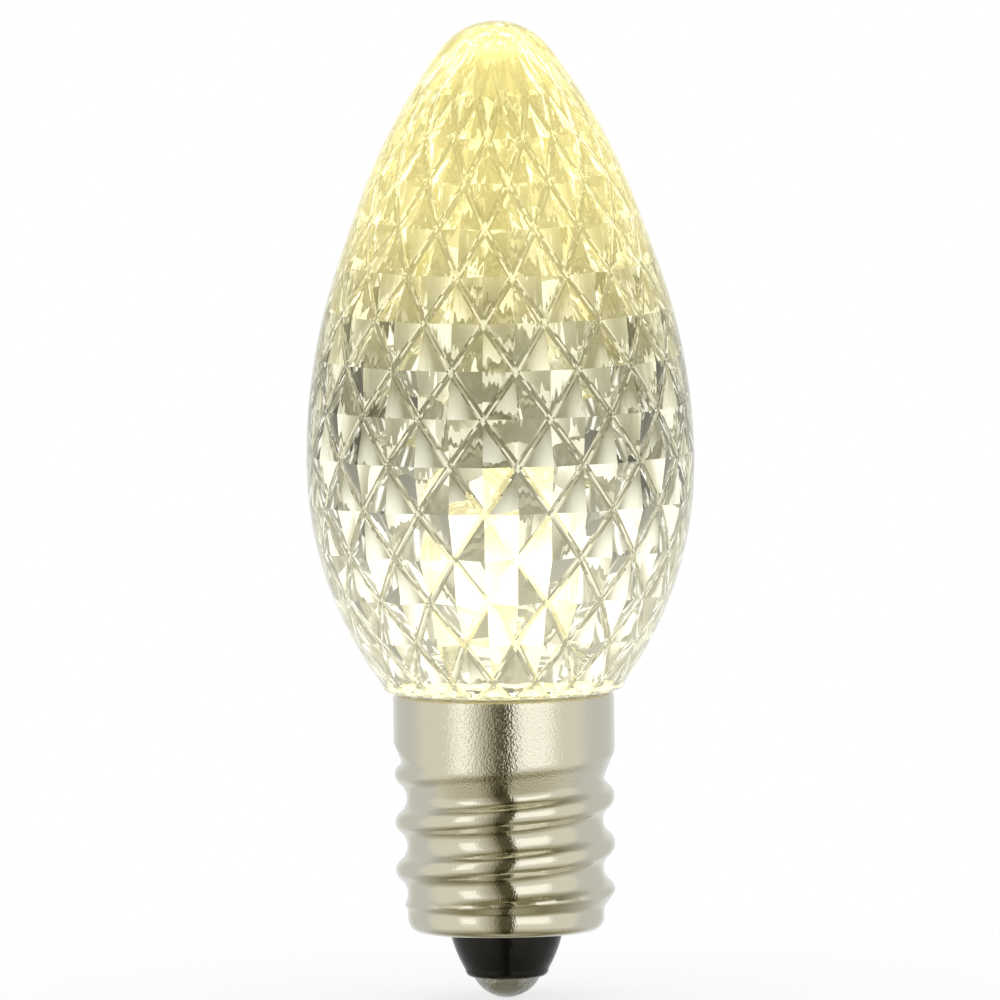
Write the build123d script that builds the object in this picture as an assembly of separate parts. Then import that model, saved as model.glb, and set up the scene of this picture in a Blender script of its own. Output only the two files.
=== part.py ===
from build123d import *
import math
import os

# A faceted light emitting lamp for a string of lights, on a candelabra screw base.
# Lengths are millimetres and angles are degrees.
# The origin is on the lamp's axis in the plane of the screw shell's top rim, and +Z points to the tip.

# Clear moulded shell, measured outside
foot_radius = 6.45
foot_rounding = 0.4
belly_radius = 10.29
belly_height = 12.15
side_radius = 31.9
taper_angle = 19.4
taper_length = 2.8
shoulder_radius = 32.8
shoulder_angle = 36.8
shell_wall = 1.5

# Diamond pits moulded into the inside of the shell
facet_columns = 16
facet_rows = 14
facet_tip_margin = 3.0
facet_depth_ratio = 0.36
facet_turn = -5.6
ridge_width = 0.25
cap_rise = 0.5

# Neck of the shell, which is cemented into the screw shell
neck_length = 2.5
neck_wall = 1.15
cement_thickness = 0.11
cement_setback = 0.35

# Pressed screw shell with a rolled candelabra thread
sheet_thickness = 0.3
collar_radius = 5.86
collar_length = 2.7
collar_taper_length = 1.7
rim_rounding = 0.22
thread_step = 0.04
thread_depth = 0.62
thread_pitch = 2.54
thread_front_crest = -6.33
screw_length = 12.8
thread_fade_top = 1.7
thread_fade_length = 0.9
bottom_rounding = 0.65

# Moulded insulator in the bottom of the screw shell
insulator_top_radius = 3.0
insulator_end_radius = 2.1
insulator_drop = 2.45
insulator_bulge = 0.12
insulator_edge_rounding = 0.3
insulator_flange_clearance = 0.6
insulator_flange_thickness = 0.9

# Centre contact: an eyelet under a dome of solder
contact_radius = 1.76
contact_height = 1.11
solder_cover = 0.26
eyelet_thickness = 0.2
eyelet_shank_radius = 0.45
eyelet_shank_length = 1.5

# Round circuit board inside the neck
board_thickness = 0.8
board_depth = 1.0
board_ledge = 0.3
board_clearance = 0.05
hole_clearance = 0.1
solder_height = 0.6
solder_width = 0.45

# Light source: a five millimetre round lens with its lead frame
die_height = 5.8
lens_radius = 2.5
lens_flange_radius = 2.9
lens_flange_thickness = 1.0
lens_height = 8.6
die_above_flange = 3.1
lead_pitch = 2.54
frame_lead_width = 0.5
frame_tail = 0.75
cup_radius = 0.62
cup_mouth_radius = 0.48
cup_floor_radius = 0.3
cup_depth = 0.35
cup_height = 0.6
anvil_height = 1.3
post_gap = 0.3
post_reach = 0.55
chip_size = 0.36
chip_thickness = 0.15
bond_wire_radius = 0.04
bond_wire_rise = 0.45

# Axial parts that hang from the board
component_offset_x = 1.4
component_offset_y = 2.0
component_drop = 1.4
lead_radius = 0.25
lead_tail = 0.6
resistor_radius = 1.15
resistor_length = 6.3
resistor_cap_radius = 1.25
resistor_cap_length = 1.3
diode_radius = 1.3
diode_length = 5.0
lead_straight = 0.7
lead_bend_radius = 0.45
lead_gap_above_insulator = 0.45
lead_end_in_solder = 0.35
side_solder_radius = 0.75
side_solder_sink = 0.35

# Places worked out from the sizes above
neck_radius = collar_radius - sheet_thickness - cement_thickness
neck_bore_radius = neck_radius - neck_wall
thread_crest_radius = collar_radius - thread_step
thread_root_radius = thread_crest_radius - thread_depth
board_radius = neck_bore_radius + board_ledge - board_clearance
board_top = -board_depth
board_bottom = board_top - board_thickness
screw_floor = -screw_length + sheet_thickness
insulator_top = screw_floor + insulator_flange_thickness
insulator_end = -screw_length - insulator_drop
eyelet_face = insulator_end - eyelet_thickness
lens_base = die_height - die_above_flange
cup_floor = die_height - chip_thickness
cup_mouth = cup_floor + cup_depth
lead_half_pitch = lead_pitch / 2
component_top = board_bottom - component_drop


def turned(outline_face):
    """Revolve a face drawn in the radius and height plane about the lamp's axis."""
    return revolve(Plane.XZ * outline_face, Axis.Z)


def polygon_face(*corners):
    """A flat face through corners given as radius and height, or as points in space."""
    return Face(Wire.make_polygon(corners, close=True))


def rod(radius, low, high, x=0.0, y=0.0):
    """A round rod along the axis direction between two heights."""
    return Pos(x, y, (low + high) / 2) * Cylinder(radius, high - low)


def bar(width, depth, low, high, x=0.0, y=0.0):
    """A square bar along the axis direction between two heights."""
    return Pos(x, y, (low + high) / 2) * Box(width, depth, high - low)


def bent_wire(radius, points, bend_radius):
    """Round wire along straight runs joined by tangent arcs."""
    path = FilletPolyline(*points, radius=bend_radius)
    section = Plane(origin=path @ 0, z_dir=path % 0) * Circle(radius)
    return sweep(section, path=path)


def faired(arc):
    """An arc drawn as a spline, which can be turned about an axis that the arc's circle crosses."""
    return Spline(*[arc @ (i / 4) for i in range(5)], tangents=[arc % 0, arc % 1])


def shell_outline():
    """Edges of the shell's outer outline, in order from the foot to the tip."""
    rise = belly_height - foot_rounding
    spread = belly_radius - foot_radius
    lower_radius = (rise**2 + spread**2) / (2 * spread)
    lower_angle = math.degrees(math.asin(rise / lower_radius))
    lean = math.radians(lower_angle)
    lower = JernArc((foot_radius, foot_rounding), (math.sin(lean), math.cos(lean)), lower_radius, lower_angle)
    side = JernArc(lower @ 1, lower % 1, side_radius, taper_angle)
    taper = Line(side @ 1, side @ 1 + taper_length * (side % 1))
    shoulder = JernArc(taper @ 1, taper % 1, shoulder_radius, shoulder_angle - taper_angle)
    tip_radius = (shoulder @ 1).X / math.cos(math.radians(shoulder_angle))
    tip = JernArc(shoulder @ 1, shoulder % 1, tip_radius, 90 - shoulder_angle)
    return [faired(lower), faired(side), taper, faired(shoulder), tip]


def wall_point(outline, distance, inset):
    """Point at a distance along the outline from the foot, set in from the outside by an inset."""
    for edge in outline:
        if distance <= edge.length or edge is outline[-1]:
            break
        distance -= edge.length
    point = edge.position_at(distance, position_mode=PositionMode.LENGTH)
    tangent = edge.tangent_at(distance, position_mode=PositionMode.LENGTH)
    return point - inset * Vector(tangent.Y, -tangent.X)


def in_space(flat_point, turn):
    """Turn a radius and height point about the axis, by an angle counted from the front."""
    angle = math.radians(turn)
    return Vector(flat_point.X * math.sin(angle), -flat_point.X * math.cos(angle), flat_point.Y)


def facet_place(outline, row, inset):
    """Point under the pits at a row, counted from the foot, or on the way down to the bore at row -1."""
    if row < 0:
        foot = wall_point(outline, 0, inset)
        return foot - row * (Vector(neck_bore_radius, 0) - foot)
    length = sum(edge.length for edge in outline)
    return wall_point(outline, row * (length - facet_tip_margin) / facet_rows, inset)


def facet_pit(outline, row, turn, half_turn):
    """Faces of one diamond pit and its half of the ridges, and its corners on a cut row."""
    centre = facet_place(outline, row, shell_wall)
    half_width = centre.X * math.radians(half_turn)
    next_row = row - 1 if row >= 0 else row + 1
    half_height = (facet_place(outline, next_row, shell_wall) - centre).length
    side_distance = half_width * half_height / math.hypot(half_width, half_height)
    keep = 1 - ridge_width / 2 / side_distance
    depth = facet_depth_ratio * half_width

    def corner(along, around, share):
        place = facet_place(outline, row + along * share, shell_wall)
        return in_space(place, turn + around * half_turn * share)

    steps = [(0, -1), (-1, 0), (0, 1), (1, 0)]
    if row == -1:
        steps = [(0, 1), (1, 0), (0, -1)]
    elif row == facet_rows:
        steps = [(0, -1), (-1, 0), (0, 1)]
    outer = [corner(along, around, 1) for along, around in steps]
    inner = [corner(along, around, keep) for along, around in steps]
    if len(steps) == 4:
        apex = in_space(facet_place(outline, row, shell_wall - depth), turn)
        pairs = [(i, (i + 1) % 4) for i in range(4)]
    else:
        apex = in_space(Vector(centre.X + depth, centre.Y), turn)
        pairs = [(0, 1), (1, 2)]
    faces = []
    for i, j in pairs:
        faces.append(polygon_face(inner[i], inner[j], apex))
        faces.append(polygon_face(outer[i], outer[j], inner[j]))
        faces.append(polygon_face(outer[i], inner[j], inner[i]))
    return faces, [outer[0], inner[0], apex, inner[-1]]


def faceted_cavity(outline):
    """The shell's inside: a closed body of flat facets, with a round cap above and the bore below."""
    half_turn = 180 / facet_columns
    faces = []
    for row in range(-1, facet_rows + 1):
        rim = []
        for column in range(facet_columns):
            turn = facet_turn + (2 * column + (row + 1) % 2) * half_turn
            pit, cut_corners = facet_pit(outline, row, turn, half_turn)
            faces += pit
            rim += reversed(cut_corners) if row < 0 else cut_corners
        if row in (-1, facet_rows):
            faces.append(polygon_face(*drop_repeats(rim)))
    inscribed = math.cos(math.radians(half_turn))
    bore = turned(
        polygon_face(
            (0, -neck_length),
            (neck_bore_radius, -neck_length),
            (neck_bore_radius, -board_depth),
            (neck_bore_radius * inscribed, 0),
            (neck_bore_radius * inscribed, ridge_width),
            (0, ridge_width),
        )
    )
    return Solid(Shell(faces)) + bore + cap_cavity(outline, inscribed)


def drop_repeats(points):
    """Leave out each point that lies on the one before it, round a closed ring."""
    return [point for i, point in enumerate(points) if (point - points[i - 1]).length > 1e-4]


def cap_cavity(outline, inscribed):
    """The smooth round inside of the tip, a dome about the axis on the topmost ring of facets."""
    ring = facet_place(outline, facet_rows, shell_wall)
    radius = ring.X * inscribed
    dome_radius = (radius**2 + cap_rise**2) / (2 * cap_rise)
    spread = 2 * math.degrees(math.atan2(cap_rise, radius))
    dome = CenterArc((0, ring.Y + cap_rise - dome_radius), dome_radius, 90 - spread, spread)
    foot = ring.Y - ridge_width
    sides = Polyline(dome @ 1, (0, foot), (radius, foot), dome @ 0)
    return turned(make_face(Curve() + [dome, sides]))


def faceted_shell():
    """Clear shell: a turned outside, facets on the inside and a stepped neck."""
    outline = shell_outline()
    foot = [
        Line((0, -neck_length), (neck_radius, -neck_length)),
        Line((neck_radius, -neck_length), (neck_radius, 0)),
        Line((neck_radius, 0), (foot_radius - foot_rounding, 0)),
        ThreePointArc(
            (foot_radius - foot_rounding, 0),
            (
                foot_radius - foot_rounding * (1 - math.sqrt(0.5)),
                foot_rounding * (1 - math.sqrt(0.5)),
            ),
            (foot_radius, foot_rounding),
        ),
    ]
    axis = Line(outline[-1] @ 1, (0, -neck_length))
    outside = turned(make_face(Curve() + foot + outline + [axis]))
    board_seat = rod(neck_bore_radius + board_ledge, -neck_length, board_top)
    return outside - faceted_cavity(outline) - board_seat


def thread_section(crest_radius, height):
    """Cut square to the axis through a one-start thread with arc crests and arc roots."""
    arc = (thread_pitch**2 / 16 + thread_depth**2 / 4) / thread_depth
    crest_turn = 360 * (height - thread_front_crest) / thread_pitch
    count = 36
    points = []
    for i in range(count):
        share = i / count
        if share <= 0.25 or share >= 0.75:
            from_crest = thread_pitch * min(share, 1 - share)
            radius = crest_radius - arc + math.sqrt(arc**2 - from_crest**2)
        else:
            from_root = thread_pitch * (share - 0.5)
            radius = crest_radius - thread_depth + arc - math.sqrt(arc**2 - from_root**2)
        points.append(in_space(Vector(radius, height), crest_turn - 360 * share))
    return Face(Wire(Spline(*points, periodic=True)))


def thread_body(inset):
    """Solid bar with the rolled thread, set in from the outside of the sheet by an inset."""
    low = -screw_length - thread_pitch / 2
    high = -collar_length + sheet_thickness
    section = thread_section(thread_crest_radius - inset, low)
    turns = (high - low) / thread_pitch
    return Solid.extrude_linear_with_rotation(section, (0, 0, low), (0, 0, high - low), 360 * turns)


def screw_core(inset, top):
    """Solid form of the screw shell, set in from its outside: collar, thread and rounded bottom."""
    taper_end = -collar_length - collar_taper_length
    fade_low = -screw_length + thread_fade_top - thread_fade_length
    fade_high = fade_low + thread_fade_length * (collar_radius - thread_root_radius) / thread_depth
    floor = -screw_length + inset
    collar = turned(
        polygon_face(
            (0, top),
            (collar_radius - inset, top),
            (collar_radius - inset, -collar_length),
            (thread_root_radius - inset, taper_end),
            (0, taper_end),
        )
    )
    corner = bottom_rounding - inset
    envelope = turned(
        polygon_face(
            (0, floor),
            (thread_root_radius - inset, floor),
            (thread_root_radius - inset, fade_low),
            (collar_radius, fade_high),
            (collar_radius, top),
            (0, top),
        )
    )
    envelope = fillet(envelope.edges().filter_by(GeomType.CIRCLE).sort_by(Axis.Z)[0], corner)
    return (collar + thread_body(inset)) & envelope


def screw_shell():
    """Pressed screw shell: one sheet rolled into collar, thread and a bottom with a hole."""
    outside = screw_core(0, 0)
    inside = screw_core(sheet_thickness, sheet_thickness)
    hole = rod(insulator_top_radius, -screw_length - sheet_thickness, screw_floor + sheet_thickness)
    shell = outside - inside - hole
    rim = shell.edges().filter_by(GeomType.CIRCLE).sort_by(Axis.Z)[-2:].sort_by(SortBy.RADIUS)[-1]
    return fillet(rim, rim_rounding)


def neck_cement():
    """Ring of adhesive that holds the neck of the clear shell in the collar."""
    outer = rod(collar_radius - sheet_thickness, -neck_length, -cement_setback)
    return outer - rod(neck_radius, -neck_length, -cement_setback)


def base_insulator():
    """Black insulator: a flange inside the screw shell and a cone that carries the contact."""
    flange_radius = thread_root_radius - sheet_thickness - insulator_flange_clearance
    middle_radius = (insulator_top_radius + insulator_end_radius) / 2 + insulator_bulge
    side = Spline(
        (insulator_top_radius, -screw_length),
        (middle_radius, (insulator_end - screw_length) / 2),
        (insulator_end_radius, insulator_end),
    )
    rest = Polyline(
        (insulator_end_radius, insulator_end),
        (0, insulator_end),
        (0, insulator_top),
        (flange_radius, insulator_top),
        (flange_radius, screw_floor),
        (insulator_top_radius, screw_floor),
        (insulator_top_radius, -screw_length),
    )
    body = turned(make_face(Curve() + [side, rest]))
    end_edge = body.edges().filter_by(GeomType.CIRCLE).sort_by(Axis.Z)[0]
    body = fillet(end_edge, insulator_edge_rounding)
    return body - rod(eyelet_shank_radius, insulator_end, insulator_top)


def centre_contact():
    """Eyelet: a disc under the insulator with a short tube up its hole."""
    disc = rod(contact_radius - solder_cover, eyelet_face, insulator_end)
    shank = rod(eyelet_shank_radius, insulator_end, insulator_end + eyelet_shank_length)
    return disc + shank - rod(lead_radius, eyelet_face, insulator_end + eyelet_shank_length)


def contact_solder(centre_lead):
    """Dome of solder over the eyelet, round the end of the centre lead."""
    dome_radius = (contact_radius**2 + contact_height**2) / (2 * contact_height)
    ball = Pos(0, 0, insulator_end - contact_height + dome_radius) * Sphere(dome_radius)
    below = rod(contact_radius, insulator_end - contact_height, insulator_end)
    return (ball & below) - centre_contact() - centre_lead


def board_holes():
    """Places and clearance radii of the holes in the board, one for each lead."""
    square_reach = frame_lead_width / 2 * math.sqrt(2)
    return [
        (-lead_half_pitch, 0, square_reach + hole_clearance),
        (lead_half_pitch, 0, square_reach + hole_clearance),
        (component_offset_x, -component_offset_y, lead_radius + hole_clearance),
        (-component_offset_x, component_offset_y, lead_radius + hole_clearance),
    ]


def circuit_board():
    """Round board on the ledge in the neck, drilled for four leads."""
    board = rod(board_radius, board_bottom, board_top)
    for x, y, radius in board_holes():
        board -= rod(radius, board_bottom, board_top, x, y)
    return board


def board_solder(leads):
    """Cone of solder round each lead under the board."""
    joints = []
    for x, y, radius in board_holes():
        wide = radius + solder_width
        cone = Pos(x, y, board_bottom - solder_height / 2) * Cone(radius, wide, solder_height)
        joints.append(cone - leads)
    return Compound(children=joints)


def frame_lead(side):
    """Square lead of the light source, from under the board up to the lens."""
    low = board_bottom - frame_tail
    high = lens_base + lens_flange_thickness
    return bar(frame_lead_width, frame_lead_width, low, high, side * lead_half_pitch)


def led_cathode_frame():
    """Cathode lead with the anvil that carries the reflector cup on the axis."""
    outer = -lead_half_pitch - frame_lead_width / 2
    cup_base = cup_mouth - cup_height
    anvil = polygon_face(
        (outer, lens_base + lens_flange_thickness),
        (outer + frame_lead_width, lens_base + lens_flange_thickness),
        (cup_radius, cup_base - anvil_height + frame_lead_width),
        (cup_radius, cup_base),
        (outer, cup_base),
    )
    plate = Pos(0, frame_lead_width / 2, 0) * extrude(Plane.XZ * anvil, frame_lead_width)
    cup = rod(cup_radius, cup_base, cup_mouth)
    bowl = Pos(0, 0, cup_mouth - cup_depth / 2) * Cone(cup_floor_radius, cup_mouth_radius, cup_depth)
    return frame_lead(-1) + plate + cup - bowl


def led_anode_frame():
    """Anode lead with a flag that reaches towards the cup for the bond wire."""
    outer = lead_half_pitch + frame_lead_width / 2
    low = lens_base + lens_flange_thickness
    reach = cup_radius + post_gap
    flag = polygon_face(
        (outer, low),
        (outer, cup_mouth),
        (reach, cup_mouth),
        (reach, cup_mouth - post_reach),
        (outer - frame_lead_width, cup_mouth - 2 * post_reach),
        (outer - frame_lead_width, low),
    )
    plate = Pos(0, frame_lead_width / 2, 0) * extrude(Plane.XZ * flag, frame_lead_width)
    return frame_lead(1) + plate


def led_chip():
    """Square chip on the floor of the cup."""
    return bar(chip_size, chip_size, cup_floor, cup_floor + chip_thickness)


def led_bond_wire():
    """Thin wire that loops from the chip to the anode's flag."""
    start = Vector(0, 0, cup_floor + chip_thickness)
    end = Vector(cup_radius + post_gap + frame_lead_width / 2, 0, cup_mouth)
    top = Vector((start.X + end.X) / 2, 0, cup_mouth + bond_wire_rise)
    path = ThreePointArc(start, top, end)
    loop = sweep(Plane(origin=path @ 0, z_dir=path % 0) * Circle(bond_wire_radius), path=path)
    return loop - led_chip() - led_anode_frame()


def led_phosphor(chip, wire):
    """Phosphor that fills the cup over the chip."""
    fill = Pos(0, 0, cup_mouth - cup_depth / 2) * Cone(cup_floor_radius, cup_mouth_radius, cup_depth)
    return fill - chip - wire


def led_lens(buried):
    """Clear round lens moulded over the lead frame, with a flat on the cathode side."""
    flange_top = lens_base + lens_flange_thickness
    dome = JernArc((lens_radius, lens_base + lens_height - lens_radius), (0, 1), lens_radius, 90)
    sides = Polyline(
        dome @ 1,
        (0, lens_base),
        (lens_flange_radius, lens_base),
        (lens_flange_radius, flange_top),
        (lens_radius, flange_top),
        dome @ 0,
    )
    flat = bar(lens_radius, 2 * lens_flange_radius, lens_base, flange_top, -1.5 * lens_radius)
    lens = turned(make_face(Curve() + [dome, sides])) - flat
    for piece in buried:
        lens -= piece
    return lens


def centre_lead_path():
    """Route of the resistor's lower lead, which crosses to the axis and runs to the contact."""
    start = component_top - resistor_length
    crossing_top = start - lead_straight
    crossing_end = insulator_top + lead_gap_above_insulator
    return [
        (component_offset_x, -component_offset_y, start),
        (component_offset_x, -component_offset_y, crossing_top),
        (0, 0, crossing_end),
        (0, 0, eyelet_face - lead_end_in_solder),
    ]


def side_joint():
    """Middle of the solder that joins the diode's lower lead to the inside of the screw shell."""
    offset = Vector(-component_offset_x, component_offset_y)
    direction = offset.normalized()
    inside = thread_root_radius - sheet_thickness
    height = component_top - diode_length - lead_straight
    return direction * (inside - side_solder_sink) + Vector(0, 0, height)


def resistor_leads():
    """The resistor's two leads: one up to the board, one down to the centre contact."""
    upper = rod(lead_radius, component_top, board_bottom + lead_tail, component_offset_x, -component_offset_y)
    return upper, bent_wire(lead_radius, centre_lead_path(), lead_bend_radius)


def diode_leads():
    """The diode's two leads: one up to the board, one out to the screw shell."""
    x, y = -component_offset_x, component_offset_y
    upper = rod(lead_radius, component_top, board_bottom + lead_tail, x, y)
    joint = side_joint()
    points = [(x, y, component_top - diode_length), (x, y, joint.Z), (joint.X, joint.Y, joint.Z)]
    return upper, bent_wire(lead_radius, points, lead_bend_radius)


def dropper_resistor():
    """Resistor body with the raised ends of a dipped axial part."""
    x, y = component_offset_x, -component_offset_y
    low = component_top - resistor_length
    body = rod(resistor_radius, low, component_top, x, y)
    body += rod(resistor_cap_radius, low, low + resistor_cap_length, x, y)
    body += rod(resistor_cap_radius, component_top - resistor_cap_length, component_top, x, y)
    return body


def rectifier_diode():
    """Moulded diode body."""
    low = component_top - diode_length
    return rod(diode_radius, low, component_top, -component_offset_x, component_offset_y)


def side_solder(lead):
    """Blob of solder that takes the form of the screw shell's inside."""
    ball = Pos(*side_joint()) * Sphere(side_solder_radius)
    return (ball & screw_core(sheet_thickness, sheet_thickness)) - lead


def build_nodes():
    """Every piece of the lamp by its node's name."""
    cathode, anode, chip, wire = led_cathode_frame(), led_anode_frame(), led_chip(), led_bond_wire()
    phosphor = led_phosphor(chip, wire)
    resistor_upper, centre_lead = resistor_leads()
    diode_upper, side_lead = diode_leads()
    through_leads = cathode + anode + resistor_upper + diode_upper
    return {
        "faceted_shell": faceted_shell(),
        "screw_shell": screw_shell(),
        "neck_cement": neck_cement(),
        "base_insulator": base_insulator(),
        "centre_contact": centre_contact(),
        "contact_solder": contact_solder(centre_lead),
        "circuit_board": circuit_board(),
        "board_solder": board_solder(through_leads),
        "led_lens": led_lens([cathode, anode, chip, wire, phosphor]),
        "led_cathode_frame": cathode,
        "led_anode_frame": anode,
        "led_chip": chip,
        "led_bond_wire": wire,
        "led_phosphor": phosphor,
        "dropper_resistor": dropper_resistor(),
        "resistor_leads": Compound(children=[resistor_upper, centre_lead]),
        "rectifier_diode": rectifier_diode(),
        "diode_leads": Compound(children=[diode_upper, side_lead]),
        "side_solder": side_solder(side_lead),
    }


os.makedirs("parts", exist_ok=True)
for name, shape in build_nodes().items():
    export_step(shape, f"parts/{name}.step")
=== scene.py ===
import math

import bpy
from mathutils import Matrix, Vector


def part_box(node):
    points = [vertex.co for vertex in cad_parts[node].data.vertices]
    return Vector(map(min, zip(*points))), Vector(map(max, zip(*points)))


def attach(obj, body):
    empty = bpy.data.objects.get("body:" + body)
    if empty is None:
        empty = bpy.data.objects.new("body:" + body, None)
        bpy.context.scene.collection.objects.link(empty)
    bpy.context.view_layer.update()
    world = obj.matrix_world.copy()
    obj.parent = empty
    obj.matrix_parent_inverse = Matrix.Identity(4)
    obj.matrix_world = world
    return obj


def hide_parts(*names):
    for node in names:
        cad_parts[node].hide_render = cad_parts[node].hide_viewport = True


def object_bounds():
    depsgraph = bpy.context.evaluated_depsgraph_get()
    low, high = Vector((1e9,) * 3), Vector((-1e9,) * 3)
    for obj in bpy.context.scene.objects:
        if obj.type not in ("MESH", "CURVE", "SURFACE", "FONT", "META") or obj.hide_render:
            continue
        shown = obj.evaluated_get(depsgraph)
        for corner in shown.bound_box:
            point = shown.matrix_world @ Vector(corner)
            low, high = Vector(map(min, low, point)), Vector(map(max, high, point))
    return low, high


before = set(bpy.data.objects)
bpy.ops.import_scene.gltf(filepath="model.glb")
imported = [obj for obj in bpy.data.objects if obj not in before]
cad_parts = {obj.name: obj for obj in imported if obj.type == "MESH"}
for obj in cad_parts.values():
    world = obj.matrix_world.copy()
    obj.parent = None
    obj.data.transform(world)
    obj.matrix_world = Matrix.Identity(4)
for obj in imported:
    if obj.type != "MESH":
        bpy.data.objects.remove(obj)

# The loaded frame is the lamp's construction in metres, with the origin on the axis at the rim of the
# screw shell.
MM = 0.001
CAD_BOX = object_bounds()

# Points whose heights or radii differ by less than this lie in the same place.
SAME_PLACE = 0.0001 * MM

WHITE = (1.0, 1.0, 1.0)
BLACK = (0.0, 0.0, 0.0)

bl_info = {
    "name": "Faceted String Lamp",
    "version": (1, 0, 0),
    "blender": (4, 5, 0),
    "location": "View3D > Sidebar > Lamp",
    "description": "Dresses a faceted string lamp on a candelabra screw base, and its studio",
    "category": "Object",
}


def length(name, description, millimetres):
    """A length property whose default is given in millimetres."""
    return bpy.props.FloatProperty(
        name=name, description=description, default=millimetres * MM, unit="LENGTH", precision=5
    )


def angle(name, description, degrees):
    """An angle property whose default is given in degrees."""
    return bpy.props.FloatProperty(
        name=name, description=description, default=math.radians(degrees), unit="ROTATION"
    )


def number(name, description, value):
    """A plain number property."""
    return bpy.props.FloatProperty(name=name, description=description, default=value)


def count(name, description, value):
    """A whole number property."""
    return bpy.props.IntProperty(name=name, description=description, default=value)


def colour(name, description, value):
    """A colour property."""
    return bpy.props.FloatVectorProperty(
        name=name, description=description, default=value, subtype="COLOR", size=3, min=0.0, max=1.0
    )


class LampShellSettings(bpy.types.PropertyGroup):
    """Sizes of the clear moulded shell."""

    foot_radius: length("Foot Radius", "Outer radius where the shell leaves the rim", 6.45)
    foot_rounding: length("Foot Rounding", "Radius of the rounded foot edge", 0.4)
    belly_radius: length("Belly Radius", "Largest outer radius", 10.285)
    belly_height: length("Belly Height", "Height of the largest radius above the rim", 12.15)
    side_radius: length("Side Radius", "Radius of the arc above the belly", 31.9)
    taper_angle: angle("Taper Angle", "Lean of the straight stretch", 19.4)
    taper_length: length("Taper Length", "Length of the straight stretch", 2.8)
    shoulder_radius: length("Shoulder Radius", "Radius of the arc under the tip", 32.8)
    shoulder_angle: angle("Shoulder Angle", "Lean where the tip's arc starts", 36.8)
    wall: length("Wall", "Thickness between the facets and the outside", 1.5)
    facet_columns: count("Facet Columns", "Diamonds round one ring", 16)
    facet_rows: count("Facet Rows", "Half diamonds up the side", 14)
    fading_rows: count("Fading Rows", "Rows under the tip over which the pits grow shallow", 3)
    facet_tip_margin: length("Facet Tip Margin", "Outline length above the topmost facets", 3.0)
    facet_depth: number("Facet Depth", "Depth of a pit as a share of its half width", 0.36)
    cap_rise: length("Cap Rise", "Height of the domed cap over the topmost facets", 0.9)
    facet_turn: angle("Facet Turn", "Turn of the pattern about the axis", -5.6)
    ridge_width: length("Ridge Width", "Width of the rounded ridges between the pits", 0.44)
    neck_radius: length("Neck Radius", "Outer radius of the neck in the collar", 5.45)
    neck_length: length("Neck Length", "Length of the neck below the rim", 2.5)
    neck_bore_radius: length("Neck Bore Radius", "Bore of the neck", 4.3)
    board_ledge: length("Board Ledge", "Step that the circuit board sits on", 0.3)
    board_depth: length("Board Depth", "Depth of the ledge below the rim", 1.0)


class LampScrewSettings(bpy.types.PropertyGroup):
    """Sizes of the pressed screw shell."""

    sheet: length("Sheet", "Thickness of the sheet", 0.3)
    collar_radius: length("Collar Radius", "Outer radius of the plain collar", 5.86)
    collar_length: length("Collar Length", "Length of the plain collar", 2.7)
    taper_length: length("Taper Length", "Length of the taper under the collar", 1.7)
    run_in_start: angle("Run-in Start", "Turn from the front where the collar meets the first crest", -90.0)
    run_in_width: angle("Run-in Width", "Turn over which the collar grows down to that crest", 60.0)
    rim_rounding: length("Rim Rounding", "Rounding of the top rim", 0.35)
    crest_radius: length("Crest Radius", "Outer radius of the thread", 5.82)
    thread_depth: length("Thread Depth", "Depth of the rolled thread", 0.62)
    pitch: length("Pitch", "Rise of the thread in one turn", 2.54)
    front_crest: length("Front Crest", "Height of a crest at the front", -6.33)
    crest_share: number("Crest Share", "Half width of a crest as a share of the pitch", 0.2)
    blend: length("Blend", "Rounding where the collar, the thread and its run-out meet", 0.12)
    length: length("Length", "Height of the screw shell", 12.8)
    fade_top: length("Fade Top", "Height above the bottom where the thread is whole", 2.1)
    fade_length: length("Fade Length", "Length over which the thread runs out", 0.9)
    bottom_rounding: length("Bottom Rounding", "Radius of the bottom corner", 0.65)
    hole_radius: length("Hole Radius", "Radius of the hole for the insulator", 3.0)


class LampBaseSettings(bpy.types.PropertyGroup):
    """Sizes of the insulator under the screw shell."""

    bore_radius: length("Bore Radius", "Radius of the hole for the eyelet", 0.45)
    end_radius: length("End Radius", "Radius at the lower end", 2.22)
    edge_rounding: length("Edge Rounding", "Rounding of the lower edge", 0.4)
    bulge: length("Bulge", "How far the sides stand out at half height", 0.1)


class LampSourceSettings(bpy.types.PropertyGroup):
    """Sizes and reach of the light source."""

    lens_radius: length("Lens Radius", "Radius of the round lens", 2.5)
    flange_radius: length("Flange Radius", "Radius of the flange under the lens", 2.9)
    flange_height: length("Flange Height", "Height of the flange", 1.0)
    core_height: length("Core Height", "Height of the lit chip above the rim", 5.8)
    lens_reach: length("Lens Reach", "Distance from the chip where the lens's glow has faded", 5.2)
    lens_strength: number("Lens Strength", "Strength of the glow in the lens", 1.2)
    phosphor_reach: length("Phosphor Reach", "Distance from the chip where its light has faded", 4.0)
    phosphor_strength: number("Phosphor Strength", "Strength of the light from the phosphor", 16.0)


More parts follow.
